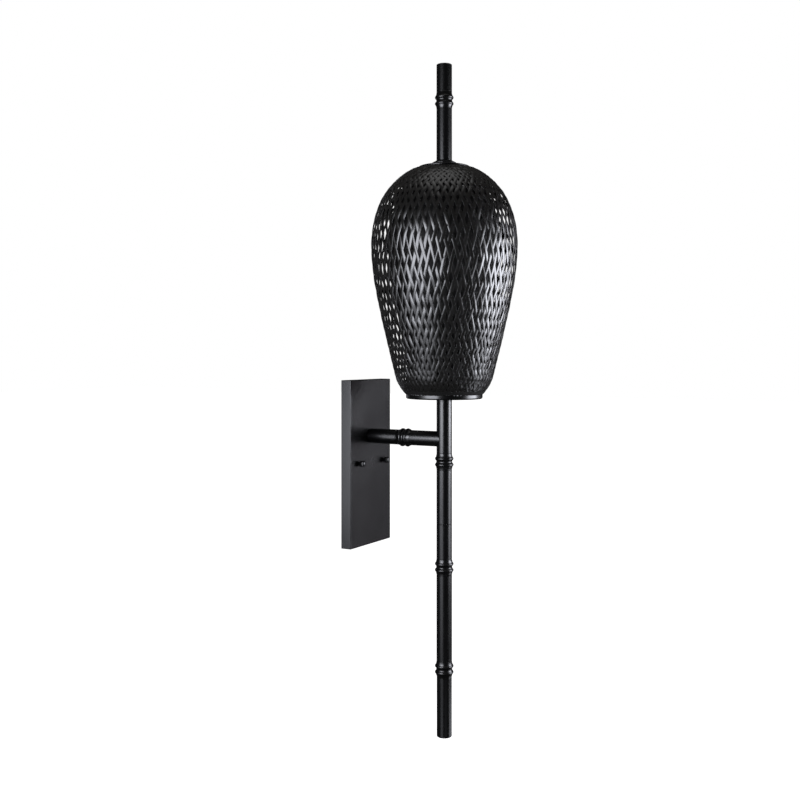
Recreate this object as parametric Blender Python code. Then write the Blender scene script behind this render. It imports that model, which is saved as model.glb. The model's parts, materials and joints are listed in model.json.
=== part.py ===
"""Torch-shaped wall light: wall plate, arm, bamboo-style pole and a woven egg-shaped shade.

Run it with blender --background --python part.py, or from Blender's text editor.
Metres, +Z up. The origin is the middle of the mounting strap's back face, which lies on the wall.
+Y points into the wall, and the pole hangs in front of it at y = POLE_Y.
"""

import math

import bmesh
import bpy
from mathutils import Euler, Vector

MM = 0.001
GAP = 0.3 * MM  # between pieces that touch
TO_ROOM = (math.radians(90), 0.0, 0.0)  # turns a piece's own +Z to the room side, -Y

# Wall plate and what is behind it
PLATE_WIDTH = 139.7 * MM
PLATE_HEIGHT = 304.8 * MM
PLATE_DEPTH = 20.5 * MM
PLATE_WALL = 1.6 * MM
PLATE_EDGE = 0.6 * MM
STRAP_LENGTH = 112 * MM
STRAP_HEIGHT = 24 * MM
STRAP_THICKNESS = 2.5 * MM
STUD_X = 42.5 * MM
STUD_RADIUS = 1.9 * MM
STUD_REACH = 30.5 * MM
THREAD_CLEARANCE = 0.3 * MM
SLOT_X = 28 * MM
SLOT_HALF_LENGTH = 7 * MM
SLOT_HALF_WIDTH = 2.3 * MM
GROUND_X = 12 * MM
CAP_NUT_RADIUS = 5.4 * MM
CAP_NUT_LENGTH = 13.0 * MM
CAP_NUT_NECK_RADIUS = 3.5 * MM
CAP_NUT_NECK_LENGTH = 2.4 * MM
KNURLS = 14

# Arm
ARM_Z = 48 * MM
ARM_LENGTH = 153 * MM  # from the plate's face to the pole's axis
ARM_NODE_FROM_POLE = 79.5 * MM
NIPPLE_RADIUS = 4.9 * MM
NIPPLE_BORE = 3.6 * MM
POLE_Y = -(PLATE_DEPTH + ARM_LENGTH)

# Pole: steel tube with nodes at these heights
TUBE_RADIUS = 13.75 * MM
TUBE_WALL = 1.5 * MM
FOOT_TUBE_RADIUS = 13.4 * MM
TUBE_INSIDE = TUBE_RADIUS - TUBE_WALL
SPIGOT_RADIUS = TUBE_INSIDE - GAP
SPIGOT_LENGTH = 8 * MM
POLE_TOP = 715.9 * MM
UPPER_NODE_Z = 651.5 * MM
HUB_NODE_Z = 8.2 * MM
SEAM_Z = -103 * MM
LOWER_NODE_Z = -179.4 * MM
FOOT_NODE_Z = -361.2 * MM
POLE_BOTTOM = -481.4 * MM
PLUG_DISC = 1.4 * MM

# A node: two round beads with a groove between, and a flare down to the tube on each side
NODE_HALF = 15 * MM
BEAD_OFFSET = 5.6 * MM
BEAD_RADIUS = 16.6 * MM
GROOVE_RADIUS = 14.3 * MM
FLARE_END = 14.3 * MM
NODE_BORE = 8 * MM

# Shade
RING_RADIUS = 68.3 * MM
RING_BOTTOM = 120.4 * MM
RING_TOP = 128.5 * MM
RING_WALL = 2.4 * MM
WIDEST_Z = 391 * MM
WIDEST_RADIUS = 130.6 * MM
DOME_HEIGHT = 149.6 * MM
DOME_POWER = 2.18
TAPER_SLOPE = 0.262
TAPER_KNEE = 21 * MM
HEM_START = 158 * MM  # below this height the weave turns in to the ring
HEM_IN = 10.9 * MM
SHELL = 2.4 * MM
INNER_WIDEST_RADIUS = 100.6 * MM
INNER_TAPER_SLOPE = 0.228
INNER_TAPER_KNEE = 14 * MM
INNER_DOME_HEIGHT = 137 * MM
INNER_SHELL = 2 * MM
SHADE_TOP_OPENING = 20 * MM
FLAT_RADIUS = 57 * MM  # inside this the crown is a flat cone
FLAT_RISE = 4.8 * MM
CROWN_RADIUS = 40 * MM
COVER_RADIUS = 45.8 * MM
COVER_WALL = 1.4 * MM
HOOP_BORE = 50.4 * MM
CAP_BASE_Z = 539 * MM
CAP_TOP_Z = 544.4 * MM
CAP_RADIUS = 22 * MM

# Stem and lampholders
STEM_RADIUS = 4.9 * MM
STEM_BORE = 3.6 * MM
STEM_CLEARANCE = 5.25 * MM
STEM_BOTTOM = 96 * MM
STEM_TOP = 556 * MM
HUB_TOP = 116.4 * MM
BAR_Z = 180 * MM
BAR_THICKNESS = 3 * MM
SOCKET_X = 27.5 * MM
SOCKET_RADIUS = 11 * MM
SOCKET_HEIGHT = 40 * MM
SOCKET_BORE = 7.2 * MM
SOCKET_FLOOR = 15.7 * MM
SHELL_OUTER = 6.9 * MM
SHELL_INNER = 6.5 * MM
BULB_CAP_RADIUS = 6.1 * MM
BULB_RADIUS = 16.2 * MM
GLASS_WALL = 0.8 * MM
LEAD_RADIUS = 1.4 * MM
WIRE_RADIUS = 0.9 * MM

# Sides of the round pieces
COARSE = 16
ROUND = 20
LARGE = 32

# Finish name: (colour, roughness, metallic)
FINISHES = {
    "black_paint": ((0.012, 0.012, 0.013), 0.42, 0.35),
    "black_rattan": ((0.010, 0.010, 0.010), 0.30, 0.0),
    "zinc": ((0.55, 0.56, 0.57), 0.35, 1.0),
    "brass": ((0.72, 0.50, 0.20), 0.30, 1.0),
    "phenolic": ((0.025, 0.022, 0.020), 0.45, 0.0),
    "nickel": ((0.62, 0.60, 0.57), 0.25, 1.0),
    "clear_glass": ((0.95, 0.96, 0.97), 0.04, 0.0),
    "white_plastic": ((0.85, 0.85, 0.82), 0.40, 0.0),
    "black_jacket": ((0.02, 0.02, 0.02), 0.60, 0.0),
    "green_jacket": ((0.03, 0.30, 0.08), 0.55, 0.0),
    "green_screw": ((0.05, 0.35, 0.12), 0.35, 0.8),
}


# ---------------------------------------------------------------- making solids


def clear_scene():
    for old in list(bpy.data.objects):
        bpy.data.objects.remove(old, do_unlink=True)


def give_material(piece, finish):
    colour, roughness, metallic = FINISHES[finish]
    material = bpy.data.materials.new(piece.name)
    material.use_nodes = True
    shader = material.node_tree.nodes["Principled BSDF"]
    shader.inputs["Base Color"].default_value = (*colour, 1.0)
    shader.inputs["Roughness"].default_value = roughness
    shader.inputs["Metallic"].default_value = metallic
    if finish == "clear_glass":
        shader.inputs["Transmission Weight"].default_value = 1.0
    piece.data.materials.append(material)


def place(piece, at, turn=(0.0, 0.0, 0.0)):
    """Puts a piece at a point, turned by Euler angles."""
    piece.location = at
    piece.rotation_euler = Euler(turn)
    return piece


def object_from(name, form, finish):
    """A shaded object from a bmesh, with its own material."""
    bmesh.ops.recalc_face_normals(form, faces=form.faces)
    mesh = bpy.data.meshes.new(name)
    form.to_mesh(mesh)
    form.free()
    mesh.shade_smooth()
    mesh.set_sharp_from_angle(angle=math.radians(35))
    piece = bpy.data.objects.new(name, mesh)
    bpy.context.scene.collection.objects.link(piece)
    if finish:
        give_material(piece, finish)
    return piece


def turned(name, profile, finish, sides=ROUND):
    """A solid of revolution about its own Z axis. profile is a closed outline of (radius, height)."""
    form = bmesh.new()
    corners = [form.verts.new((radius, 0.0, height)) for radius, height in profile]
    edges = [form.edges.new((a, b)) for a, b in zip(corners, corners[1:])]
    if profile[0][0] > 0 or profile[-1][0] > 0:
        edges.append(form.edges.new((corners[-1], corners[0])))
    bmesh.ops.spin(
        form,
        geom=corners + edges,
        cent=(0, 0, 0),
        axis=(0, 0, 1),
        angle=math.tau,
        steps=sides,
        use_merge=True,
    )
    bmesh.ops.remove_doubles(form, verts=form.verts, dist=1e-7)
    return object_from(name, form, finish)


def prism(name, outline, depth, finish):
    """A flat outline of (x, y) points, extruded along its own +Z from 0 to depth."""
    form = bmesh.new()
    corners = [form.verts.new((x, y, 0.0)) for x, y in outline]
    face = form.faces.new(corners)
    grown = bmesh.ops.extrude_face_region(form, geom=[face])
    top = [v for v in grown["geom"] if isinstance(v, bmesh.types.BMVert)]
    bmesh.ops.translate(form, verts=top, vec=(0, 0, depth))
    return object_from(name, form, finish)


def block(name, size, finish):
    """A box centred on its own origin."""
    form = bmesh.new()
    bmesh.ops.create_cube(form, size=1.0)
    bmesh.ops.scale(form, verts=form.verts, vec=size)
    return object_from(name, form, finish)


def as_cutter(piece):
    piece.hide_render = True
    piece.display_type = "WIRE"


def apply_boolean(piece, tool, operation="DIFFERENCE"):
    """A live Boolean of piece with tool, which becomes a hidden guide."""
    as_cutter(tool)
    step = piece.modifiers.new(operation.lower(), "BOOLEAN")
    step.operation = operation
    step.object = tool
    step.solver = "EXACT"


def drill(piece, radius, start, end, sides=COARSE):
    """Cuts a round hole between two points."""
    start, end = Vector(start), Vector(end)
    along = end - start
    half = along.length / 2
    tool = turned(
        f"{piece.name}_drill_{len(piece.modifiers)}",
        [(0, half), (radius, half), (radius, -half), (0, -half)],
        None,
        sides,
    )
    tool.location = (start + end) / 2
    tool.rotation_euler = along.to_track_quat("Z", "Y").to_euler()
    apply_boolean(piece, tool)


def tube(name, radius, bore, low, high, finish, sides=ROUND):
    """A plain tube along its own Z axis."""
    return turned(name, [(radius, high), (radius, low), (bore, low), (bore, high)], finish, sides)


def polygon(count, radius):
    """Corners of a regular polygon."""
    turns = [math.tau * i / count for i in range(count)]
    return [(radius * math.cos(a), radius * math.sin(a)) for a in turns]


def hex_nut(name, across_flats, thickness, bore, at, turn=(0.0, 0.0, 0.0)):
    """A hexagon nut that stands at a point, with its bore along its own Z."""
    corner_radius = across_flats / 2 / math.cos(math.radians(30))
    nut = place(prism(name, polygon(6, corner_radius), thickness, "zinc"), at, turn)
    ends = (2 * thickness, -thickness)
    outline = [(0, ends[0]), (bore, ends[0]), (bore, ends[1]), (0, ends[1])]
    apply_boolean(nut, place(turned(f"{name}_bore", outline, None, COARSE), at, turn))
    return nut


def smooth_route(points, spacing):
    """Points at even steps along a smooth curve through the given ones."""
    ways = [Vector(p) for p in points]
    ways = [2 * ways[0] - ways[1], *ways, 2 * ways[-1] - ways[-2]]
    dense = []
    for a, b, c, d in zip(ways, ways[1:], ways[2:], ways[3:]):
        for i in range(24):
            t = i / 24
            bend = 2 * b + (c - a) * t + (2 * a - 5 * b + 4 * c - d) * t**2
            dense.append((bend + (3 * b - a - 3 * c + d) * t**3) / 2)
    dense.append(ways[-2])
    lengths = [(q - p).length for p, q in zip(dense, dense[1:])]
    count = max(2, round(sum(lengths) / spacing))
    step = sum(lengths) / count
    route, travelled, wanted = [dense[0]], 0.0, step
    for p, q, length in zip(dense, dense[1:], lengths):
        while travelled + length >= wanted and len(route) < count:
            route.append(p.lerp(q, (wanted - travelled) / length))
            wanted += step
        travelled += length
    route.append(dense[-1])
    return route


def wire(name, points, radius, finish, spacing):
    """A round wire along a smooth route, as a curve with filled caps."""
    route = smooth_route(points, spacing)
    curve = bpy.data.curves.new(name, "CURVE")
    curve.dimensions = "3D"
    curve.bevel_depth = radius
    curve.bevel_resolution = 2
    curve.use_fill_caps = True
    line = curve.splines.new("POLY")
    line.points.add(len(route) - 1)
    for point, place_at in zip(line.points, route):
        point.co = (*place_at, 1.0)
    piece = bpy.data.objects.new(name, curve)
    bpy.context.scene.collection.objects.link(piece)
    give_material(piece, finish)
    return piece


def group_on(name, at, pieces):
    """An empty on a joint's axis that carries the pieces of one moving body."""
    empty = bpy.data.objects.new(name, None)
    empty.location = at
    bpy.context.scene.collection.objects.link(empty)
    bpy.context.view_layer.update()
    for piece in pieces:
        world = piece.matrix_world.copy()
        piece.parent = empty
        piece.matrix_parent_inverse = empty.matrix_world.inverted()
        piece.matrix_world = world


# ---------------------------------------------------------------- outlines


def shade_radius(z):
    """Outer radius of the woven shade at a height."""
    if z >= WIDEST_Z:
        rise = min((z - WIDEST_Z) / DOME_HEIGHT, 1.0)
        return WIDEST_RADIUS * (1 - rise**DOME_POWER) ** (1 / DOME_POWER)
    radius = taper_radius(z, WIDEST_RADIUS, TAPER_SLOPE, TAPER_KNEE)
    if z < HEM_START:
        radius -= HEM_IN * ((HEM_START - z) / (HEM_START - RING_TOP)) ** 1.8
    return radius


def taper_radius(z, widest, slope, knee):
    """Radius under the widest height, where the side bends smoothly into a straight taper."""
    return widest - (math.hypot(slope * (WIDEST_Z - z), knee) - knee)


def dome_height(radius, widest, height):
    """Height on a dome where it has a given radius."""
    return WIDEST_Z + height * (1 - (radius / widest) ** DOME_POWER) ** (1 / DOME_POWER)


def dome_points(widest, height, top_radius, count):
    """Points from the dome's top opening down to its widest circle."""
    start = math.acos(top_radius / widest)
    angles = [start * (1 - i / count) for i in range(count)]
    return [
        (widest * math.cos(a), dome_height(widest * math.cos(a), widest, height)) for a in angles
    ]


def node_outline(upper, lower):
    """Outside of a node from top to bottom, on tubes of these radii."""
    crest = BEAD_RADIUS
    flare = FLARE_END - BEAD_OFFSET
    shoulder = crest - 0.3 * (crest - GROOVE_RADIUS)
    hollow = 0.3  # how much of the crest's height is left halfway down the flare
    return [
        (upper, NODE_HALF),
        (upper, FLARE_END),
        (upper + hollow * (crest - upper), BEAD_OFFSET + flare / 2),
        (crest, BEAD_OFFSET),
        (shoulder, BEAD_OFFSET / 2),
        (GROOVE_RADIUS, 0.0),
        (shoulder, -BEAD_OFFSET / 2),
        (crest, -BEAD_OFFSET),
        (lower + hollow * (crest - lower), -BEAD_OFFSET - flare / 2),
        (lower, -FLARE_END),
        (lower, -NODE_HALF),
    ]


def pole_node(name, height, lower=TUBE_RADIUS):
    """A bamboo node with a spigot at each end, which the tubes slide over."""
    lower_spigot = lower - TUBE_WALL - GAP
    reach = NODE_HALF + SPIGOT_LENGTH
    profile = [
        (NODE_BORE, reach),
        (SPIGOT_RADIUS, reach),
        (SPIGOT_RADIUS, NODE_HALF),
        *node_outline(TUBE_RADIUS, lower),
        (lower_spigot, -NODE_HALF),
        (lower_spigot, -reach),
        (NODE_BORE, -reach),
    ]
    return place(turned(name, profile, "black_paint"), (0, POLE_Y, height))


def pole_tube(name, low, high, radius=TUBE_RADIUS):
    """A length of pole between two heights, its origin on the pole's axis at its foot."""
    piece = tube(name, radius, radius - TUBE_WALL, 0, high - low, "black_paint")
    return place(piece, (0, POLE_Y, low))


def end_plug(name, height, way, radius=TUBE_RADIUS):
    """A disc that closes a tube's end, with a spigot. way is 1 for a top end, -1 for a bottom end."""
    spigot = radius - TUBE_WALL - GAP
    edge = 0.5 * MM
    profile = [
        (0, 0),
        (radius - edge, 0),
        (radius, -edge * way),
        (radius, -PLUG_DISC * way),
        (spigot, -PLUG_DISC * way),
        (spigot, -(PLUG_DISC + SPIGOT_LENGTH) * way),
        (0, -(PLUG_DISC + SPIGOT_LENGTH) * way),
    ]
    return place(turned(name, profile, "black_paint"), (0, POLE_Y, height))


# ---------------------------------------------------------------- wall side


def stadium(half_length, half_width, sides=12):
    """Outline of a bar with round ends, along X."""
    straight = half_length - half_width
    points = []
    for i in range(sides + 1):
        a = -math.pi / 2 + math.pi * i / sides
        points.append((straight + half_width * math.cos(a), half_width * math.sin(a)))
    for i in range(sides + 1):
        a = math.pi / 2 + math.pi * i / sides
        points.append((-straight + half_width * math.cos(a), half_width * math.sin(a)))
    return points


def make_mounting_strap():
    strap = prism(
        "mounting_strap", stadium(STRAP_LENGTH / 2, STRAP_HEIGHT / 2), STRAP_THICKNESS, "zinc"
    )
    place(strap, (0, 0, 0), TO_ROOM)
    for side in (-1, 1):
        hole = STUD_RADIUS + THREAD_CLEARANCE
        drill(strap, hole, (side * STUD_X, 1 * MM, 0), (side * STUD_X, -4 * MM, 0))
        slot = prism(
            f"strap_slot_{side}", stadium(SLOT_HALF_LENGTH, SLOT_HALF_WIDTH, 6), 6 * MM, None
        )
        place(slot, (side * SLOT_X, 1 * MM, 0), TO_ROOM)
        apply_boolean(strap, slot)
    drill(strap, 2.0 * MM, (GROUND_X, 1 * MM, 0), (GROUND_X, -4 * MM, 0))


def make_ground_screw():
    """Slotted earth screw with a washer head, in the strap."""
    head = 2.0 * MM
    face = STRAP_THICKNESS + GAP
    profile = [
        (0, face + head),
        (3.4 * MM, face + head),
        (4.0 * MM, face + 0.6 * head),
        (4.0 * MM, face),
        (1.7 * MM, face),
        (1.7 * MM, 0.2 * MM),
        (0, 0.2 * MM),
    ]
    screw = turned("ground_screw", profile, "green_screw", COARSE)
    place(screw, (GROUND_X, 0, 0), TO_ROOM)
    slot = block("ground_screw_slot", (9 * MM, 2 * MM, 1 * MM), None)
    place(slot, (GROUND_X, -(face + head), 0))
    apply_boolean(screw, slot)


def make_stud(side, word):
    """Threaded stud through the strap and the plate, with its lock nut."""
    chamfer = 0.5 * MM
    profile = [
        (0, STUD_REACH),
        (STUD_RADIUS - chamfer, STUD_REACH),
        (STUD_RADIUS, STUD_REACH - chamfer),
        (STUD_RADIUS, 0.2 * MM),
        (0, 0.2 * MM),
    ]
    stud = turned(f"stud_{word}", profile, "zinc", COARSE)
    place(stud, (side * STUD_X, 0, 0), TO_ROOM)
    bore = STUD_RADIUS + THREAD_CLEARANCE
    at = (side * STUD_X, -(STRAP_THICKNESS + GAP), 0)
    hex_nut(f"stud_nut_{word}", 7 * MM, 3.2 * MM, bore, at, TO_ROOM)


def make_wall_plate():
    """Open-backed tray with slightly broken front edges."""
    plate = block("wall_plate", (PLATE_WIDTH, PLATE_DEPTH, PLATE_HEIGHT), "black_paint")
    place(plate, (0, -PLATE_DEPTH / 2, 0))
    edge = plate.modifiers.new("edge", "BEVEL")
    edge.width = PLATE_EDGE
    edge.segments = 1
    edge.limit_method = "ANGLE"
    inside = block(
        "wall_plate_inside",
        (PLATE_WIDTH - 2 * PLATE_WALL, PLATE_DEPTH, PLATE_HEIGHT - 2 * PLATE_WALL),
        None,
    )
    place(inside, (0, -PLATE_DEPTH / 2 + PLATE_WALL, 0))
    apply_boolean(plate, inside)
    for side in (-1, 1):
        x = side * STUD_X
        drill(plate, 2.6 * MM, (x, -PLATE_DEPTH - 4 * MM, 0), (x, -PLATE_DEPTH + 4 * MM, 0))
    low, high = -PLATE_DEPTH - 4 * MM, -PLATE_DEPTH + 4 * MM
    drill(plate, NIPPLE_RADIUS + 0.5 * MM, (0, low, ARM_Z), (0, high, ARM_Z), ROUND)


def make_cap_nut(side, word):
    """Knurled cap nut: a plain neck against the plate, a knurled barrel and a low crown."""
    rings = [
        (CAP_NUT_NECK_RADIUS, 0.0, False),
        (CAP_NUT_NECK_RADIUS, CAP_NUT_NECK_LENGTH, False),
        (CAP_NUT_RADIUS, CAP_NUT_NECK_LENGTH + 0.4 * MM, True),
        (CAP_NUT_RADIUS, CAP_NUT_LENGTH - 1.4 * MM, True),
        (CAP_NUT_RADIUS - 0.9 * MM, CAP_NUT_LENGTH - 0.4 * MM, False),
        (CAP_NUT_RADIUS - 2.2 * MM, CAP_NUT_LENGTH, False),
    ]
    depth = 0.35 * MM
    form = bmesh.new()
    loops = []
    for radius, height, knurled in rings:
        loop = []
        for i, (x, y) in enumerate(polygon(2 * KNURLS, 1.0)):
            reach = radius - (depth if knurled and i % 2 else 0)
            loop.append(form.verts.new((x * reach, y * reach, height)))
        loops.append(loop)
    for lower, upper in zip(loops, loops[1:]):
        for i in range(2 * KNURLS):
            j = (i + 1) % (2 * KNURLS)
            form.faces.new((lower[i], lower[j], upper[j], upper[i]))
    form.faces.new(reversed(loops[0]))
    form.faces.new(loops[-1])
    nut = object_from(f"cap_nut_{word}", form, "black_paint")
    face = -(PLATE_DEPTH + GAP)
    place(nut, (side * STUD_X, face, 0), TO_ROOM)
    reach = STUD_REACH - PLATE_DEPTH + GAP
    bore = STUD_RADIUS + THREAD_CLEARANCE
    drill(nut, bore, (side * STUD_X, face + 2 * MM, 0), (side * STUD_X, face - reach, 0))
    return nut


def make_terminal_block():
    """Moulded block in the plate's upper half, with two lead entries below and a supply entry above."""
    piece = block("terminal_block", (28 * MM, 10 * MM, 18 * MM), "white_plastic")
    place(piece, (0, -10.5 * MM, 97 * MM))
    edge = piece.modifiers.new("edge", "BEVEL")
    edge.width = 0.8 * MM
    edge.segments = 1
    for x in (-6 * MM, 6 * MM):
        drill(piece, LEAD_RADIUS + GAP, (x, -10.5 * MM, 80 * MM), (x, -10.5 * MM, 92 * MM))
        drill(piece, 1.6 * MM, (x, -10.5 * MM, 100 * MM), (x, -10.5 * MM, 110 * MM))


# ---------------------------------------------------------------- arm


def make_arm():
    """Nipple, washer and nut through the plate, then the arm's two tubes and the node between."""
    face = -PLATE_DEPTH
    inside = face + PLATE_WALL
    node_y = POLE_Y + ARM_NODE_FROM_POLE
    bush_length = 16 * MM
    nipple = [
        (SPIGOT_RADIUS, -GAP),
        (SPIGOT_RADIUS, -bush_length),
        (NIPPLE_BORE, -bush_length),
        (NIPPLE_BORE, 10 * MM),
        (NIPPLE_RADIUS, 10 * MM),
        (NIPPLE_RADIUS, -GAP),
    ]
    turn_to_wall = (math.radians(-90), 0, 0)
    place(turned("arm_nipple", nipple, "zinc"), (0, face, ARM_Z), turn_to_wall)
    washer = tube("arm_washer", 11 * MM, NIPPLE_RADIUS + GAP, 0, 1.5 * MM, "zinc")
    place(washer, (0, inside + GAP, ARM_Z), turn_to_wall)
    at = (0, inside + 2 * GAP + 1.5 * MM, ARM_Z)
    hex_nut("arm_nut", 16 * MM, 4 * MM, NIPPLE_RADIUS + GAP, at, turn_to_wall)

    rear_length = face - GAP - (node_y + NODE_HALF + GAP)
    rear = tube("arm_tube_rear", TUBE_RADIUS, TUBE_INSIDE, 0, rear_length, "black_paint")
    place(rear, (0, face - GAP, ARM_Z), TO_ROOM)
    node = pole_node("arm_node", 0)
    place(node, (0, node_y, ARM_Z), TO_ROOM)
    front_start = node_y - NODE_HALF - GAP
    front = tube(
        "arm_tube_front", TUBE_RADIUS, TUBE_INSIDE, 0, front_start - POLE_Y, "black_paint"
    )
    place(front, (0, front_start, ARM_Z), TO_ROOM)
    cope = turned(
        "arm_cope",
        [(0, 0.03), (TUBE_RADIUS + GAP, 0.03), (TUBE_RADIUS + GAP, -0.03), (0, -0.03)],
        None,
        ROUND,
    )
    place(cope, (0, POLE_Y, ARM_Z))
    apply_boolean(front, cope)


# ---------------------------------------------------------------- pole


def make_fixed_pole():
    """The welded part of the pole, from under the shade to the seam."""
    hub = pole_tube("hub_tube", HUB_NODE_Z + NODE_HALF + GAP, HUB_TOP)
    drill(hub, 8 * MM, (0, POLE_Y + 4 * MM, ARM_Z), (0, POLE_Y + 20 * MM, ARM_Z), ROUND)
    pole_node("hub_node", HUB_NODE_Z)
    pole_tube("fixed_tube", SEAM_Z + GAP / 2, HUB_NODE_Z - NODE_HALF - GAP)
    bush = [
        (TUBE_RADIUS, 3.4 * MM),
        (TUBE_RADIUS, GAP),
        (SPIGOT_RADIUS, GAP),
        (SPIGOT_RADIUS, -16 * MM),
        (STEM_CLEARANCE, -16 * MM),
        (STEM_CLEARANCE, 3.4 * MM),
    ]
    place(turned("hub_bush", bush, "zinc"), (0, POLE_Y, HUB_TOP))
    thread = 8 * MM
    coupler = [
        (SPIGOT_RADIUS, 18 * MM),
        (SPIGOT_RADIUS, 1 * MM),
        (thread, 0),
        (thread, -18 * MM),
        (thread - 3 * MM, -18 * MM),
        (thread - 3 * MM, 18 * MM),
    ]
    place(turned("coupler", coupler, "zinc"), (0, POLE_Y, SEAM_Z))


def make_lower_pole():
    """The part under the seam, which screws onto the coupler."""
    insert = tube("lower_insert", SPIGOT_RADIUS, 8.4 * MM, 0, 15 * MM, "zinc")
    place(insert, (0, POLE_Y, SEAM_Z - 16 * MM))
    pieces = [
        insert,
        pole_tube("lower_tube_top", LOWER_NODE_Z + NODE_HALF + GAP, SEAM_Z - GAP / 2),
        pole_node("lower_node", LOWER_NODE_Z),
        pole_tube("lower_tube_middle", FOOT_NODE_Z + NODE_HALF + GAP, LOWER_NODE_Z - NODE_HALF - GAP),
        pole_node("foot_node", FOOT_NODE_Z, FOOT_TUBE_RADIUS),
        pole_tube(
            "lower_tube_bottom",
            POLE_BOTTOM + PLUG_DISC + GAP,
            FOOT_NODE_Z - NODE_HALF - GAP,
            FOOT_TUBE_RADIUS,
        ),
        end_plug("bottom_plug", POLE_BOTTOM, -1, FOOT_TUBE_RADIUS),
    ]
    group_on("lower_pole_axis", (0, POLE_Y, SEAM_Z), pieces)


def make_upper_pole():
    """The part above the cap, which screws onto the stem."""
    foot = CAP_TOP_Z + GAP
    insert = tube("upper_insert", SPIGOT_RADIUS, STEM_CLEARANCE, 0, 16 * MM, "zinc")
    place(insert, (0, POLE_Y, foot))
    pieces = [
        insert,
        pole_tube("upper_tube", foot, UPPER_NODE_Z - NODE_HALF - GAP),
        pole_node("upper_node", UPPER_NODE_Z),
        pole_tube("upper_tip_tube", UPPER_NODE_Z + NODE_HALF + GAP, POLE_TOP - PLUG_DISC - GAP),
        end_plug("upper_end_plug", POLE_TOP, 1),
    ]
    group_on("upper_pole_axis", (0, POLE_Y, foot), pieces)


# ---------------------------------------------------------------- shade


def make_base_ring():
    """Rim with a ledge for the shade, and a four-armed spider on the stem."""
    ledge = 57 * MM
    step = 3 * MM
    inside = RING_RADIUS - RING_WALL
    profile = [
        (inside, RING_TOP),
        (RING_RADIUS - 0.6 * MM, RING_TOP),
        (RING_RADIUS, RING_TOP - 0.6 * MM),
        (RING_RADIUS, RING_BOTTOM + 2.4 * MM),
        (RING_RADIUS - 0.8 * MM, RING_BOTTOM + 0.7 * MM),
        (RING_RADIUS - 2.4 * MM, RING_BOTTOM),
        (ledge, RING_BOTTOM),
        (ledge, RING_BOTTOM + step),
        (inside, RING_BOTTOM + step),
    ]
    ring = place(turned("base_ring", profile, "black_paint", LARGE), (0, POLE_Y, 0))
    middle = RING_BOTTOM + step / 2 + 0.1 * MM
    for i in range(2):
        arm = block(f"spider_arm_{i}", (2 * ledge + 4 * MM, 8 * MM, step - 0.4 * MM), None)
        place(arm, (0, POLE_Y, middle), (0, 0, math.radians(45 + 90 * i)))
        apply_boolean(ring, arm, "UNION")
    hub = tube("spider_hub", 14 * MM, 2 * MM, RING_BOTTOM, RING_BOTTOM + 3.6 * MM, None)
    place(hub, (0, POLE_Y, 0))
    apply_boolean(ring, hub, "UNION")
    drill(ring, STEM_CLEARANCE, (0, POLE_Y, 0.11), (0, POLE_Y, 0.13), ROUND)


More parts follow.
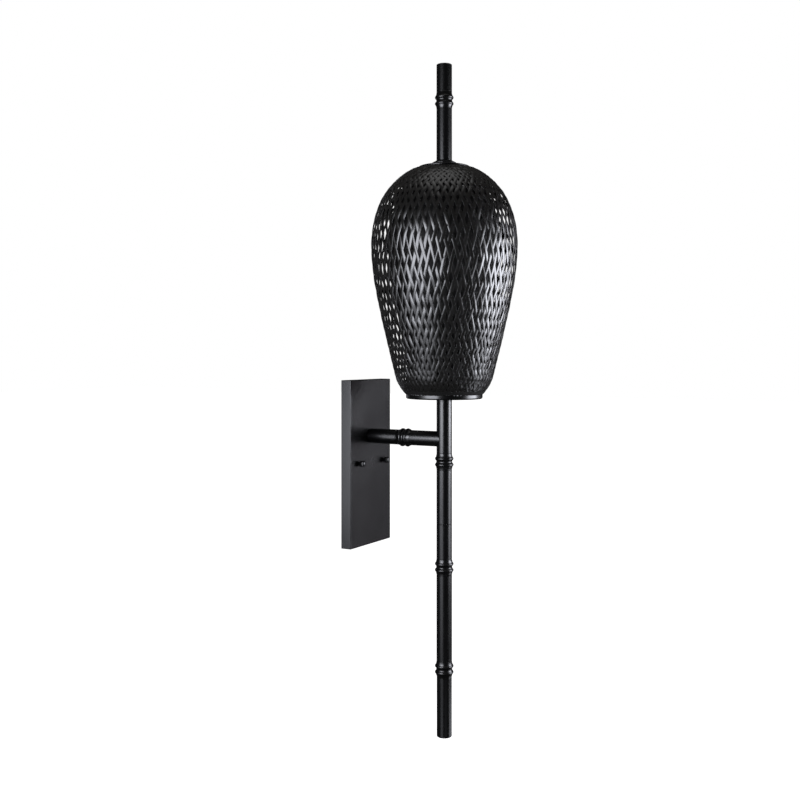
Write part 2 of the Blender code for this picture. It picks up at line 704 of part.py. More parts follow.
def make_shade():
    """Outer and inner woven shells, the hoop at their foot, and the plate and cover at the crown."""
    outer = dome_points(WIDEST_RADIUS, DOME_HEIGHT, FLAT_RADIUS, 6)
    outer.insert(0, (SHADE_TOP_OPENING, outer[0][1] + FLAT_RISE))
    foot = RING_TOP + GAP
    taper = (WIDEST_Z - HEM_START) / 4
    heights = [WIDEST_Z - taper * i for i in range(5)] + [HEM_START - 13 * MM, foot]
    outer += [(shade_radius(z), z) for z in heights]
    place(
        turned("outer_shade", with_thickness(outer, SHELL), "black_rattan", LARGE), (0, POLE_Y, 0)
    )

    widest = INNER_WIDEST_RADIUS
    inner = dome_points(widest, INNER_DOME_HEIGHT, CROWN_RADIUS + 2.4 * MM, 4)
    hoop_top = RING_BOTTOM + 3 * MM + GAP + 2.3 * MM
    taper = (WIDEST_Z - hoop_top - GAP) / 6
    heights = [WIDEST_Z - taper * i for i in range(7)]
    inner += [
        (taper_radius(z, widest, INNER_TAPER_SLOPE, INNER_TAPER_KNEE), z) for z in heights
    ]
    place(
        turned("inner_shade", with_thickness(inner, INNER_SHELL), "black_rattan", 24),
        (0, POLE_Y, 0),
    )

    hoop_outer = RING_RADIUS - RING_WALL - 2 * GAP
    floor = RING_BOTTOM + 3 * MM + GAP
    hoop = [
        (hoop_outer, floor + 9 * MM),
        (hoop_outer, floor),
        (HOOP_BORE, floor),
        (HOOP_BORE, hoop_top),
        (hoop_outer - 1.8 * MM, hoop_top),
        (hoop_outer - 1.8 * MM, floor + 9 * MM),
    ]
    place(turned("base_hoop", hoop, "black_paint", LARGE), (0, POLE_Y, 0))

    bore = STEM_CLEARANCE + GAP
    top = CAP_BASE_Z - GAP
    cover = [
        (bore, top),
        (CAP_RADIUS, top),
        (COVER_RADIUS - 0.8 * MM, top - 5.2 * MM),
        (COVER_RADIUS, top - 5.8 * MM),
        (COVER_RADIUS, top - 7.6 * MM),
        (COVER_RADIUS - 1.2 * MM, top - 7.6 * MM),
        (COVER_RADIUS - 1.2 * MM, top - 6.6 * MM),
        (CAP_RADIUS, top - COVER_WALL),
        (bore, top - COVER_WALL),
    ]
    place(turned("crown_cover", cover, "black_paint", LARGE), (0, POLE_Y, 0))

    hub_radius = SHADE_TOP_OPENING - 2 * MM
    hub_top = top - COVER_WALL - GAP
    crown = [
        (bore, hub_top),
        (hub_radius, hub_top),
        (hub_radius, hub_top - 6.1 * MM),
        (CROWN_RADIUS, hub_top - 8.9 * MM),
        (CROWN_RADIUS, hub_top - 22 * MM),
        (CROWN_RADIUS - 2 * MM, hub_top - 22 * MM),
        (CROWN_RADIUS - 2 * MM, hub_top - 10.6 * MM),
        (bore, hub_top - 8 * MM),
    ]
    place(turned("crown_plate", crown, "black_paint"), (0, POLE_Y, 0))
    names = ("outer_shade", "inner_shade", "base_hoop", "crown_cover", "crown_plate")
    group_on("shade_axis", (0, POLE_Y, RING_TOP), [bpy.data.objects[n] for n in names])


def with_thickness(outside, wall):
    """Closes a shell's outline with its inner side, a wall's thickness in from the outside."""
    inside = []
    last = len(outside) - 1
    for i, (radius, height) in enumerate(outside):
        before, after = outside[max(i - 1, 0)], outside[min(i + 1, last)]
        run = Vector((after[0] - before[0], after[1] - before[1])).normalized()
        if i == last:
            inside.append((radius - wall, height))
        else:
            inside.append((radius + wall * run.y, height - wall * run.x))
    return outside + inside[::-1]


def make_top_cap():
    bore = STEM_CLEARANCE + GAP
    profile = [
        (bore, CAP_TOP_Z),
        (14.4 * MM, CAP_TOP_Z),
        (15.2 * MM, CAP_TOP_Z - 0.5 * MM),
        (CAP_RADIUS - 0.5 * MM, CAP_BASE_Z + 1.6 * MM),
        (CAP_RADIUS, CAP_BASE_Z + 1.0 * MM),
        (CAP_RADIUS, CAP_BASE_Z),
        (bore, CAP_BASE_Z),
    ]
    cap = place(turned("top_cap", profile, "black_paint"), (0, POLE_Y, 0))
    group_on("cap_axis", (0, POLE_Y, CAP_BASE_Z), [cap])


# ---------------------------------------------------------------- stem, lampholders and bulbs


def make_stem():
    """Hollow threaded stem, with a slot on each side where the leads come out."""
    stem = tube("stem", STEM_RADIUS, STEM_BORE, STEM_BOTTOM, STEM_TOP, "zinc", COARSE)
    place(stem, (0, POLE_Y, 0))
    slot = block("stem_slot", (20 * MM, 4.4 * MM, 18 * MM), None)
    place(slot, (0, POLE_Y, 158 * MM))
    apply_boolean(stem, slot)
    for name, height in (
        ("ring_nut", RING_BOTTOM + 3.6 * MM + GAP),
        ("bar_nut_lower", BAR_Z - 4.5 * MM - GAP),
        ("bar_nut_upper", BAR_Z + BAR_THICKNESS + GAP),
    ):
        hex_nut(name, 17 * MM, 4.5 * MM, STEM_CLEARANCE, (0, POLE_Y, height))


def make_socket_bar():
    bar = prism("socket_bar", stadium(39.5 * MM, 11 * MM, 8), BAR_THICKNESS, "zinc")
    place(bar, (0, POLE_Y, BAR_Z))
    for x, radius in ((0, STEM_CLEARANCE), (-SOCKET_X, 3 * MM), (SOCKET_X, 3 * MM)):
        drill(bar, radius, (x, POLE_Y, BAR_Z - 2 * MM), (x, POLE_Y, BAR_Z + 5 * MM))


def make_socket(side, word):
    """Candelabra lampholder with a lead entry below, and the metal screw shell inside it."""
    foot = BAR_Z + BAR_THICKNESS + GAP
    entry = LEAD_RADIUS + GAP
    outline = [
        (0, SOCKET_FLOOR),
        (SOCKET_BORE, SOCKET_FLOOR),
        (SOCKET_BORE, SOCKET_HEIGHT),
        (SOCKET_RADIUS - 1 * MM, SOCKET_HEIGHT),
        (SOCKET_RADIUS, SOCKET_HEIGHT - 1 * MM),
        (SOCKET_RADIUS, 0),
        (entry, 0),
        (entry, 6 * MM),
        (0, 6 * MM),
    ]
    at = (side * SOCKET_X, POLE_Y, foot)
    place(turned(f"socket_{word}", outline, "phenolic", COARSE), at)
    shell = tube(
        f"screw_shell_{word}",
        SHELL_OUTER,
        SHELL_INNER,
        SOCKET_FLOOR + GAP,
        SOCKET_HEIGHT - 1 * MM,
        "brass",
        COARSE,
    )
    place(shell, at)


def make_bulb(side, word):
    """Candle bulb: screw cap, glass envelope open at its neck, and the mount inside."""
    base = SOCKET_FLOOR + 1.2 * MM
    cap_top = SOCKET_HEIGHT - 2 * MM
    recess = 5.6 * MM
    recess_floor = cap_top - 4 * MM
    cap = [
        (0, recess_floor),
        (recess, recess_floor),
        (recess, cap_top),
        (BULB_CAP_RADIUS, cap_top),
        (BULB_CAP_RADIUS, base + 3.5 * MM),
        (2.6 * MM, base + 1 * MM),
        (1.8 * MM, base),
        (0, base),
    ]
    neck = recess - GAP
    bottom = recess_floor + GAP
    belly = SOCKET_HEIGHT + 28 * MM
    tip = SOCKET_HEIGHT + 92 * MM
    glass = [
        (neck, bottom),
        (neck, cap_top + 2.6 * MM),
        (13.4 * MM, belly - 13 * MM),
        (BULB_RADIUS, belly),
        (14.6 * MM, belly + 16 * MM),
        (7.6 * MM, tip - 20 * MM),
        (1.8 * MM, tip - 2 * MM),
        (0, tip),
    ]
    inside = [(radius - GLASS_WALL, height) for radius, height in glass[:-2]]
    inside.append((0, tip - 5 * MM))
    mount = [
        (0, bottom + GAP),
        (3.9 * MM, bottom + GAP),
        (3.9 * MM, bottom + 3 * MM),
        (1.6 * MM, bottom + 9 * MM),
        (1.1 * MM, belly + 24 * MM),
        (0, belly + 25 * MM),
    ]
    at = (side * SOCKET_X, POLE_Y, BAR_Z + BAR_THICKNESS + GAP)
    pieces = [
        place(turned(f"bulb_cap_{word}", cap, "nickel", COARSE), at),
        place(turned(f"bulb_glass_{word}", inside[::-1] + glass, "clear_glass", COARSE), at),
        place(turned(f"bulb_mount_{word}", mount, "clear_glass", 8), at),
    ]
    group_on(f"bulb_{word}_axis", at, pieces)


# ---------------------------------------------------------------- wiring


def make_lead(side, word):
    """Lead from the terminal block through nipple, arm, pole and stem to its lampholder."""
    x = side * 1.5 * MM
    block_y = -10.5 * MM
    points = [
        (side * 6 * MM, block_y, 90 * MM),
        (side * 6 * MM, block_y, 82 * MM),
        (side * 5 * MM, -7.5 * MM, 70 * MM),
        (side * 2.6 * MM, -4.0 * MM, 59 * MM),
        (x, -4.6 * MM, 51.5 * MM),
        (x, -9.5 * MM, ARM_Z + 0.5 * MM),
        (x, -16 * MM, ARM_Z),
        (x, -30 * MM, ARM_Z),
        (x, -60 * MM, ARM_Z),
        (x, -100 * MM, ARM_Z),
        (x, -140 * MM, ARM_Z),
        (x, -160 * MM, ARM_Z + 0.5 * MM),
        (x, -168.5 * MM, ARM_Z + 4 * MM),
        (x, POLE_Y + 0.6 * MM, ARM_Z + 13 * MM),
        (x, POLE_Y, ARM_Z + 26 * MM),
        (x, POLE_Y, 96 * MM),
        (x, POLE_Y, 122 * MM),
        (x, POLE_Y, 148 * MM),
        (side * 2.4 * MM, POLE_Y, 154 * MM),
        (side * 5.6 * MM, POLE_Y, 159.5 * MM),
        (side * 12 * MM, POLE_Y, 163 * MM),
        (side * 21 * MM, POLE_Y, 165.5 * MM),
        (side * 27.5 * MM, POLE_Y, 169.5 * MM),
        (side * SOCKET_X, POLE_Y, 177 * MM),
        (side * SOCKET_X, POLE_Y, BAR_Z + 8 * MM),
    ]
    wire(f"lead_{word}", points, LEAD_RADIUS, "black_jacket", 7.5 * MM)


def make_ground_wire():
    """Earth wire from beside the earth screw's head to the arm's nut."""
    points = [
        (GROUND_X, -4.2 * MM, 5.4 * MM),
        (GROUND_X + 1 * MM, -6 * MM, 14 * MM),
        (GROUND_X, -10 * MM, 24 * MM),
        (7 * MM, -13.6 * MM, 32 * MM),
        (3 * MM, -14.8 * MM, 37.2 * MM),
    ]
    wire("ground_wire", points, WIRE_RADIUS, "green_jacket", 4 * MM)


# ---------------------------------------------------------------- the whole object


def main():
    clear_scene()
    make_mounting_strap()
    make_ground_screw()
    make_wall_plate()
    make_terminal_block()
    make_arm()
    make_fixed_pole()
    make_lower_pole()
    make_base_ring()
    make_stem()
    make_socket_bar()
    for side, word in ((-1, "left"), (1, "right")):
        make_stud(side, word)
        make_cap_nut(side, word)
        make_socket(side, word)
        make_bulb(side, word)
        make_lead(side, word)
    make_ground_wire()
    make_shade()
    make_top_cap()
    make_upper_pole()


main()
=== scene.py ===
"""Looks of a torch-shaped wall light: satin black metal, two nested egg shades of black woven cane.

Metres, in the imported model's frame: +Z up, +Y into the wall. The pole stands on x = 0, y = POLE_Y.
"""

import json
import math

import bmesh
import bpy
import numpy as np
from mathutils import Matrix, Vector


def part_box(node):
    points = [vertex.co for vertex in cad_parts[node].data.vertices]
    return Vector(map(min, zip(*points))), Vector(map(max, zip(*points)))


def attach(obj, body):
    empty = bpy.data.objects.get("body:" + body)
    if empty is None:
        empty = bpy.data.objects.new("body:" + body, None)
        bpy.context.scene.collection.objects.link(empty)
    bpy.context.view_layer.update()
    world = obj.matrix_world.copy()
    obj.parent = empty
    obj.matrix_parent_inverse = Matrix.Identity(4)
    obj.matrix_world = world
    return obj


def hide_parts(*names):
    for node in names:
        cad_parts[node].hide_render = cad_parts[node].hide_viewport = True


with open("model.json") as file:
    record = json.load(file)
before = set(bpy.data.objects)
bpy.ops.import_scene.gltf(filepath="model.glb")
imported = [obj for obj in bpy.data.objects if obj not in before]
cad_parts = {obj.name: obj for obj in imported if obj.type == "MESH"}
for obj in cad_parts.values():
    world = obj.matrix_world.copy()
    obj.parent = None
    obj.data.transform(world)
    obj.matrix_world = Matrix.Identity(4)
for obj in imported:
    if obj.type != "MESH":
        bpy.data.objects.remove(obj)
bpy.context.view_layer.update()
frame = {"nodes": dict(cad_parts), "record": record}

MM = 0.001
SEED = 11
POLE_Y = ((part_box("fixed_tube")[0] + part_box("fixed_tube")[1]) / 2).y
POLE = Vector((0.0, POLE_Y, 0.0))
TO_CAMERA = 210  # bearing of the camera from the pole, in degrees from +X, anticlockwise from above
CAMERA_DISTANCE = 1.847
CAMERA_ASIDE = 78.9 * MM  # the pole stands right of the picture's middle by this much
CAMERA_Z = 0.2026
PANEL_DISTANCE = 1.6
FLOOR_Z = -1.25
TO_ROOM = Matrix.Rotation(math.radians(90), 4, "X")  # turns a piece's own +Z to -Y

TUBE_SIDES = 96
SMALL_SIDES = 48
TUBE_WALL = 1.5 * MM
TUBE_EDGE = 0.25 * MM
SPIGOT_STEP = 1.8 * MM  # a spigot's radius is smaller than its tube's by this much
SEAM_CHAMFER = 0.5 * MM
NODE_HALF = 15 * MM  # half the length of a bamboo node, without its spigots
NODE_REACH = 23 * MM  # half its length with them
NODE_BORE = 8 * MM
CROWN_BORE = 5.55 * MM

# Shade outline, as in the CAD
RING_TOP = 128.5 * MM
WIDEST_Z = 391 * MM
WIDEST_RADIUS = 130.6 * MM
DOME_HEIGHT = 149.6 * MM
DOME_POWER = 2.18
FLAT_RADIUS = 57 * MM
FLAT_RISE_PER_RADIUS = 4.8 / 37
TAPER_SLOPE = 0.262
TAPER_KNEE = 21 * MM
HEM_START = 158 * MM
HEM_IN = 10.9 * MM
INNER_WIDEST_RADIUS = 100.6 * MM
INNER_TAPER_SLOPE = 0.228
INNER_TAPER_KNEE = 14 * MM
INNER_DOME_HEIGHT = 137 * MM
DOME_STEPS, SIDE_STEPS = 60, 120

# Lean of the strips: the sine of their angle from upright is LEAN / radius, and at most MOST
OUTER_LEAN = 33  # mm, below the widest height
OUTER_LEAN_GAIN = 11.5  # mm more over the crown
OUTER_LEAN_START_Z, OUTER_LEAN_FADE = 0.395, 0.08
OUTER_LEAN_MOST = 0.56
INNER_LEAN = 28 * MM
INNER_LEAN_MOST = 0.5

# Unevenness of each strip, and the count of knots of its random line
DRIFT_MM, DRIFT_KNOTS = 1.5, 10
SWELL, SWELL_KNOTS = 0.10, 7
LIFT_MM, LIFT_KNOTS = 0.06, 22
ROLL, ROLL_KNOTS = math.radians(10), 14
WAVE_HEIGHT = 0.62  # how far a strip goes over and under, in thicknesses
WAVE_ROUNDNESS = 0.7  # 1 is a plain cosine, and less is squarer

# Lampholders and bulbs, as in the CAD
SOCKET_BORE = 7.2 * MM
SOCKET_FLOOR = 15.7 * MM
SOCKET_ENTRY = 1.7 * MM
BULB_NECK = 5.3 * MM


# ---------------------------------------------------------------- materials


class Graph:
    """A material's node tree, with short calls to add and join nodes."""

    def __init__(self, name):
        self.material = bpy.data.materials.new(name)
        self.material.use_nodes = True
        self.tree = self.material.node_tree
        self.shader = self.tree.nodes["Principled BSDF"]

    def add(self, kind, inputs=None, **settings):
        made = self.tree.nodes.new(kind)
        for key, value in settings.items():
            setattr(made, key, value)
        for key, value in (inputs or {}).items():
            self.feed(made, key, value)
        return made

    def feed(self, target, key, value):
        """Sets an input to a value, or joins it to another node's output."""
        socket = target.inputs[key]
        if isinstance(value, bpy.types.NodeSocket):
            self.tree.links.new(value, socket)
        elif isinstance(value, (tuple, list)) and len(value) == 3 and socket.type == "RGBA":
            socket.default_value = (*value, 1.0)
        else:
            socket.default_value = value

    def set(self, **values):
        """Sets or joins inputs of the shader; underscores stand for spaces."""
        for key, value in values.items():
            self.feed(self.shader, key.replace("_", " "), value)

    def object_coordinates(self):
        return self.add("ShaderNodeTexCoord").outputs["Object"]

    def noise(self, vector, scale, detail=2.0, roughness=0.5):
        inputs = {"Vector": vector, "Scale": scale, "Detail": detail, "Roughness": roughness}
        return self.add("ShaderNodeTexNoise", inputs).outputs["Fac"]

    def remap(self, value, low, high, start=0.3, end=0.7):
        inputs = {"Value": value, "From Min": start, "From Max": end, "To Min": low, "To Max": high}
        return self.add("ShaderNodeMapRange", inputs).outputs["Result"]

    def mix(self, factor, first, second):
        made = self.add("ShaderNodeMix", data_type="RGBA")
        self.feed(made, 0, factor)
        for index, value in ((6, first), (7, second)):
            self.feed(made, index, value)
        return made.outputs[2]

    def math(self, operation, first, second=0.0):
        made = self.add("ShaderNodeMath", operation=operation)
        self.feed(made, 0, first)
        self.feed(made, 1, second)
        return made.outputs[0]

    def bump(self, height, strength, distance, under=None):
        inputs = {"Height": height, "Strength": strength, "Distance": distance}
        if under is not None:
            inputs["Normal"] = under
        return self.add("ShaderNodeBump", inputs).outputs["Normal"]


def make_black_paint():
    """Satin black powder coat: fine orange peel, slightly cloudy gloss."""
    g = Graph("black_paint")
    where = g.object_coordinates()
    cloud = g.noise(where, 18.0, 4.0)
    peel = g.noise(where, 620.0, 3.0, 0.6)
    grit = g.noise(where, 2600.0, 2.0)
    g.set(
        Base_Color=g.mix(g.noise(where, 70.0, 3.0), (0.0008, 0.0008, 0.0009), (0.0016, 0.0016, 0.0018)),
        Roughness=g.remap(cloud, 0.23, 0.28),
        Specular_IOR_Level=0.5,
        Normal=g.bump(grit, 0.06, 0.03 * MM, g.bump(peel, 0.08, 0.06 * MM)),
    )
    return g.material


def make_cane(name, low, high, specular, lacquer):
    """Black stained cane. U is metres along the strip, V is the strip's number plus its share across."""
    g = Graph(name)
    uv = g.add("ShaderNodeUVMap", uv_map="strip").outputs["UV"]
    split = g.add("ShaderNodeSeparateXYZ", {0: uv})
    along, across = split.outputs[0], split.outputs[1]
    number = g.math("FLOOR", across)
    chance = g.add("ShaderNodeTexWhiteNoise", {"W": number}, noise_dimensions="1D").outputs["Value"]
    stretched = g.add(
        "ShaderNodeCombineXYZ", {0: g.math("MULTIPLY", along, 40.0), 1: g.math("MULTIPLY", across, 9.0)}
    ).outputs[0]
    fibre = g.noise(stretched, 1.0, 3.0, 0.6)
    blotch = g.noise(g.object_coordinates(), 45.0, 3.0)
    g.set(
        Base_Color=g.mix(fibre, (0.0048, 0.0046, 0.0044), (0.0084, 0.0079, 0.0073)),
        Roughness=g.math("ADD", g.remap(blotch, low, high), g.math("MULTIPLY", chance, 0.06)),
        Specular_IOR_Level=specular,
        Coat_Weight=lacquer,
        Coat_Roughness=0.13,
        Normal=g.bump(fibre, 0.15, 0.06 * MM),
    )
    return g.material


def make_metal(name, colour, dull, low, high):
    """Plated or bare metal with cloudy gloss and fine scratches."""
    g = Graph(name)
    where = g.object_coordinates()
    scratches = g.add("ShaderNodeMapping", {"Vector": where, "Scale": (1.0, 1.0, 14.0)}).outputs[0]
    g.set(
        Base_Color=g.mix(g.noise(where, 160.0, 4.0), colour, dull),
        Metallic=1.0,
        Roughness=g.remap(g.noise(where, 90.0, 4.0), low, high),
        Normal=g.bump(g.noise(scratches, 260.0, 3.0), 0.12, 0.05 * MM),
    )
    return g.material


def make_plastic(name, colour, dull, low, high, peel=500.0):
    """Moulded plastic or rubber, faintly uneven."""
    g = Graph(name)
    where = g.object_coordinates()
    g.set(
        Base_Color=g.mix(g.noise(where, 130.0, 3.0), colour, dull),
        Roughness=g.remap(g.noise(where, 60.0, 3.0), low, high),
        Normal=g.bump(g.noise(where, peel, 2.0), 0.12, 0.05 * MM),
    )
    return g.material


def make_glass():
    g = Graph("clear_glass")
    where = g.object_coordinates()
    g.set(
        Base_Color=(0.97, 0.98, 0.98),
        Transmission_Weight=1.0,
        IOR=1.47,
        Roughness=g.remap(g.noise(where, 40.0, 2.0), 0.0, 0.03),
        Normal=g.bump(g.noise(where, 90.0, 2.0), 0.03, 0.1 * MM),
    )
    return g.material


# ---------------------------------------------------------------- building pieces


def piece_from(name, form, slot, body, *nodes):
    """Turns a bmesh into a piece that rides on a body and stands for CAD nodes."""
    bmesh.ops.recalc_face_normals(form, faces=form.faces)
    mesh = bpy.data.meshes.new(name)
    form.to_mesh(mesh)
    form.free()
    return finish_piece(name, mesh, slot, body, *nodes)


def finish_piece(name, mesh, slot, body, *nodes, material=None):
    mesh.shade_smooth()
    mesh.materials.append(material or MATERIALS[slot])
    piece = bpy.data.objects.new(name, mesh)
    bpy.context.scene.collection.objects.link(piece)
    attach(piece, body)
    if nodes:
        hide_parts(*nodes)
    return piece


def weigh_normals(piece):
    """Keeps broad faces flat and lets narrow rounded edges carry the change of shade."""
    step = piece.modifiers.new("normals", "WEIGHTED_NORMAL")
    step.mode = "FACE_AREA"
    step.weight = 70
    return piece


def rounded(profile, radius, segments=3):
    """A closed outline with each corner replaced by a short arc, as far as its sides are long enough."""
    points = [Vector(p) for p in profile]
    result = []
    for before, corner, after in zip([points[-1], *points], points, [*points[1:], points[0]]):
        back, on = before - corner, after - corner
        turn = back.angle(on)
        if corner.x < 1e-6 or turn > math.radians(165):
            result.append(tuple(corner))
            continue
        reach = min(radius / math.tan(turn / 2), 0.4 * back.length, 0.4 * on.length)
        start, end = corner + back.normalized() * reach, corner + on.normalized() * reach
        for i in range(segments + 1):
            t = i / segments
            result.append(tuple(start.lerp(corner, t).lerp(corner.lerp(end, t), t)))
    return result


def lathe(form, profile, at=(0, 0, 0), turn=None, sides=TUBE_SIDES):
    """Adds a solid of revolution to a bmesh. profile is a closed outline of (radius, height)."""
    matrix = Matrix.Translation(at) @ (turn or Matrix.Identity(4))
    rings = []
    for radius, height in profile:
        count = sides if radius > 1e-6 else 1
        ring = []
        for i in range(count):
            a = math.tau * i / sides
            place = matrix @ Vector((radius * math.cos(a), radius * math.sin(a), height))
            ring.append(form.verts.new(place))
        rings.append(ring)
    for lower, upper in zip(rings, [*rings[1:], rings[0]]):
        if len(lower) == 1 and len(upper) == 1:
            continue
        for i in range(sides):
            j = (i + 1) % sides
            corners = [lower[i % len(lower)], lower[j % len(lower)]]
            corners += [upper[j % len(upper)], upper[i % len(upper)]]
            form.faces.new(list(dict.fromkeys(corners)))
    return form


def turned(name, profile, slot, body, *nodes, at=(0, 0, 0), turn=None, sides=TUBE_SIDES, edge=0.3 * MM):
    """A turned piece with softened corners."""
    outline = rounded(profile, edge) if edge else profile
    form = lathe(bmesh.new(), outline, at, turn, sides)
    return weigh_normals(piece_from(name, form, slot, body, *nodes))


def box_into(form, size, matrix, bevel, segments=3):
    """Adds a box with rounded edges to a bmesh."""
    made = bmesh.ops.create_cube(form, size=1.0)["verts"]
    bmesh.ops.scale(form, verts=made, vec=size)
    edges = list({e for v in made for e in v.link_edges})
    grown = bmesh.ops.bevel(
        form, geom=made + edges, offset=bevel, segments=segments, profile=0.5, affect="EDGES"
    )
    verts = list({v for f in grown["faces"] for v in f.verts} | {v for v in made if v.is_valid})
    bmesh.ops.transform(form, matrix=matrix, verts=verts)
    return form


# ---------------------------------------------------------------- pole and arm


def tube_radius(node):
    low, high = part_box(node)
    return (high.x - low.x) / 2


def make_tube(node, body):
    """A length of pole, between the heights of its CAD node, with a chamfer where it meets the seam."""
    low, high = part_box(node)
    radius = tube_radius(node)
    bore = radius - TUBE_WALL
    top = SEAM_CHAMFER if node == "lower_tube_top" else 0
    foot = SEAM_CHAMFER if node == "fixed_tube" else 0
    outside = [(radius - top, high.z), (radius, high.z - top)]
    outside += [(radius, low.z + foot), (radius - foot, low.z)]
    profile = list(dict.fromkeys(outside)) + [(bore, low.z), (bore, high.z)]
    turned(f"{node}_fine", profile, "black_paint", body, node, at=POLE, edge=TUBE_EDGE)


def node_profile(upper, lower, crest):
    """Outside of a bamboo node, top to bottom: a flare, two round beads with a groove, a flare."""
    offset, bead = 5.5 * MM, 3.1 * MM  # a bead's distance from the groove, and the radius of its round
    groove, foot = crest - 2.5 * MM, crest - 1.25 * MM
    flare_start, flare_end = 14.6 * MM, offset + 2.3 * MM
    flare_steps, bead_steps = 14, 11
    points = [(upper, NODE_HALF), (upper, flare_start)]
    for i in range(1, flare_steps + 1):
        t = i / flare_steps
        height = flare_start + (flare_end - flare_start) * t
        points.append((upper + (foot - upper) * t**1.8, height))
    for i in range(1, bead_steps + 1):
        a = math.radians(50 - 100 * i / bead_steps)
        points.append((crest - bead + bead * math.cos(a), offset + bead * math.sin(a)))
    points.append((groove + 0.1 * MM, 1.2 * MM))
    points.append((groove, 0.0))
    below = [(r, -h) for r, h in reversed(points[:-1])]
    shifted = []
    for r, h in below:
        share = min(1.0, max(0.0, (-h - flare_end) / (flare_start - flare_end)))
        shifted.append((r - (upper - lower) * share, h))
    return points + shifted


def make_node(node, body, lower=None, at=None, turn=None):
    """A bamboo node with its two spigots."""
    low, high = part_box(node)
    middle = (low + high) / 2
    upper = TUBE_RADIUS
    lower = lower or upper
    above, below = upper - SPIGOT_STEP, lower - SPIGOT_STEP
    profile = [(NODE_BORE, NODE_REACH), (above, NODE_REACH), (above, NODE_HALF)]
    profile += node_profile(upper, lower, (high.x - low.x) / 2)
    profile += [(below, -NODE_HALF), (below, -NODE_REACH), (NODE_BORE, -NODE_REACH)]
    turned(f"{node}_fine", profile, "black_paint", body, node, at=at or middle, turn=turn, edge=0)


def make_plug(node, body, way):
    """The closing disc of the pole's end; way is 1 at the top and -1 at the foot."""
    low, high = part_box(node)
    radius = tube_radius(node)
    end = high.z if way > 0 else low.z
    spigot = radius - SPIGOT_STEP
    profile = [(0, end), (radius - 0.7 * MM, end), (radius, end - 0.7 * MM * way)]
    profile += [(radius, end - 1.4 * MM * way), (spigot, end - 1.4 * MM * way)]
    profile += [(spigot, end - 9.4 * MM * way), (0, end - 9.4 * MM * way)]
    turned(f"{node}_fine", profile, "black_paint", body, node, at=POLE, edge=0.3 * MM)


def make_arm():
    low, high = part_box("arm_tube_rear")
    arm_z = (low.z + high.z) / 2
    radius = TUBE_RADIUS
    bore = radius - TUBE_WALL
    profile = [(radius, -low.y), (radius, -high.y), (bore, -high.y), (bore, -low.y)]
    turned(
        "arm_tube_rear_fine", profile, "black_paint", "fixture", "arm_tube_rear",
        at=(0, 0, arm_z), turn=TO_ROOM, edge=TUBE_EDGE,
    )
    make_node("arm_node", "fixture", turn=TO_ROOM)
    _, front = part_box("arm_tube_front")
    profile = [(radius, -POLE_Y), (radius, -front.y), (bore, -front.y), (bore, -POLE_Y)]
    form = lathe(bmesh.new(), rounded(profile, TUBE_EDGE), (0, 0, arm_z), TO_ROOM)
    for v in form.verts:  # the end that is coped to the pole
        if v.co.y < POLE_Y + 2 * MM:
            v.co.y = POLE_Y + math.sqrt(max((radius + 0.3 * MM) ** 2 - v.co.x**2, 0.0))
    weigh_normals(piece_from("arm_tube_front_fine", form, "black_paint", "fixture", "arm_tube_front"))


# ---------------------------------------------------------------- wall plate


def make_wall_plate():
    """Open-backed tray with rounded front edges and a soft inner corner."""
    low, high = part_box("wall_plate")
    wall, edge = 1.6 * MM, 1.3 * MM
    form = bmesh.new()

    def loop(inset, y, corner):
        points = []
        for sx, sz, start in ((1, 1, 0), (-1, 1, 90), (-1, -1, 180), (1, -1, 270)):
            x = sx * (high.x - inset - corner)
            z = (low.z + high.z) / 2 + sz * ((high.z - low.z) / 2 - inset - corner)
            for i in range(4):
                a = math.radians(start + 30 * i)
                points.append((x + corner * math.cos(a), y, z + corner * math.sin(a)))
        return [form.verts.new(p) for p in points]

    rows = [
        loop(wall, high.y, 0.6 * MM),
        loop(0.2 * MM, high.y, 1.0 * MM),
        loop(0, high.y - 0.2 * MM, 1.2 * MM),
    ]
    for i in range(6):
        a = math.radians(18 * i)
        rows.append(loop(edge * (1 - math.cos(a)), low.y + edge * (1 - math.sin(a)), 1.3 * MM))
    rows.append(loop(4 * MM, low.y, 1.0 * MM))
    inner = [
        loop(wall, high.y, 0.6 * MM),
        loop(wall, low.y + wall + 1 * MM, 0.6 * MM),
        loop(wall + 1 * MM, low.y + wall, 0.5 * MM),
    ]
    for loops in (rows, inner):
        for lower, upper in zip(loops, loops[1:]):
            for i in range(len(lower)):
                j = (i + 1) % len(lower)
                form.faces.new((lower[i], lower[j], upper[j], upper[i]))
        form.faces.new(loops[-1])
    bmesh.ops.remove_doubles(form, verts=form.verts, dist=0.01 * MM)
    weigh_normals(piece_from("wall_plate_fine", form, "black_paint", "fixture", "wall_plate"))


